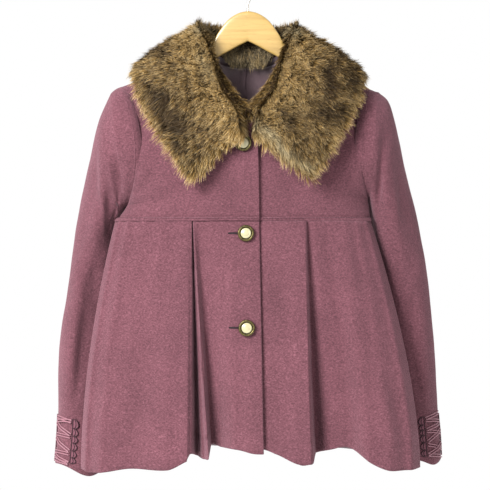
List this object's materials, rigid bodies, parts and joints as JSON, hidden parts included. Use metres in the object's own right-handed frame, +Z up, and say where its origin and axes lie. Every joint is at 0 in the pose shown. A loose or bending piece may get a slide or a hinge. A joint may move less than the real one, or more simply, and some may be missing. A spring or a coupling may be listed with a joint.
{
  "type": "short coat on a hanger",
  "caption": "Short A-line wool coat with a wide pointed fur collar, a pleated skirt and laced cuffs, hanging on a bent wooden hanger.",
  "frame": {"origin": "inside of the top of the hanger's hook, where a rail carries it", "axes": "+Z up, the coat's front faces -Y, +X to the right of someone who looks at the front"},
  "size_m": [0.6264, 0.22, 0.8037],
  "materials": {
    "wool": "napped wool cloth, matt",
    "fur": "long pile fur cloth",
    "satin": "satin lining, soft sheen",
    "button_metal": "antiqued",
    "button_face": "cast, polished",
    "cord": "twisted cord, soft sheen",
    "lace": "corded lace edging",
    "hanger_wood": "varnished",
    "hanger_wire": "bright wire"
  },
  "bodies": {
    "root": {"bodice_front_left": "wool", "bodice_front_right": "wool", "bodice_back": "wool", "skirt_front_left": "wool", "skirt_front_right": "wool", "skirt_back": "wool", "sleeve_left": "wool", "sleeve_right": "wool", "collar_left": "fur", "collar_right": "fur", "lining_back": "satin", "button_rim_1": "button_metal", "button_face_1": "button_face", "button_rim_2": "button_metal", "button_face_2": "button_face", "button_rim_3": "button_metal", "button_face_3": "button_face", "cuff_lacing_left": "cord", "cuff_trim_left_front": "lace", "cuff_trim_left_back": "lace", "cuff_lacing_right": "cord", "cuff_trim_right_front": "lace", "cuff_trim_right_back": "lace", "hanger_wood": "hanger_wood", "hanger_hook": "hanger_wire"}
  },
  "joints": []
}
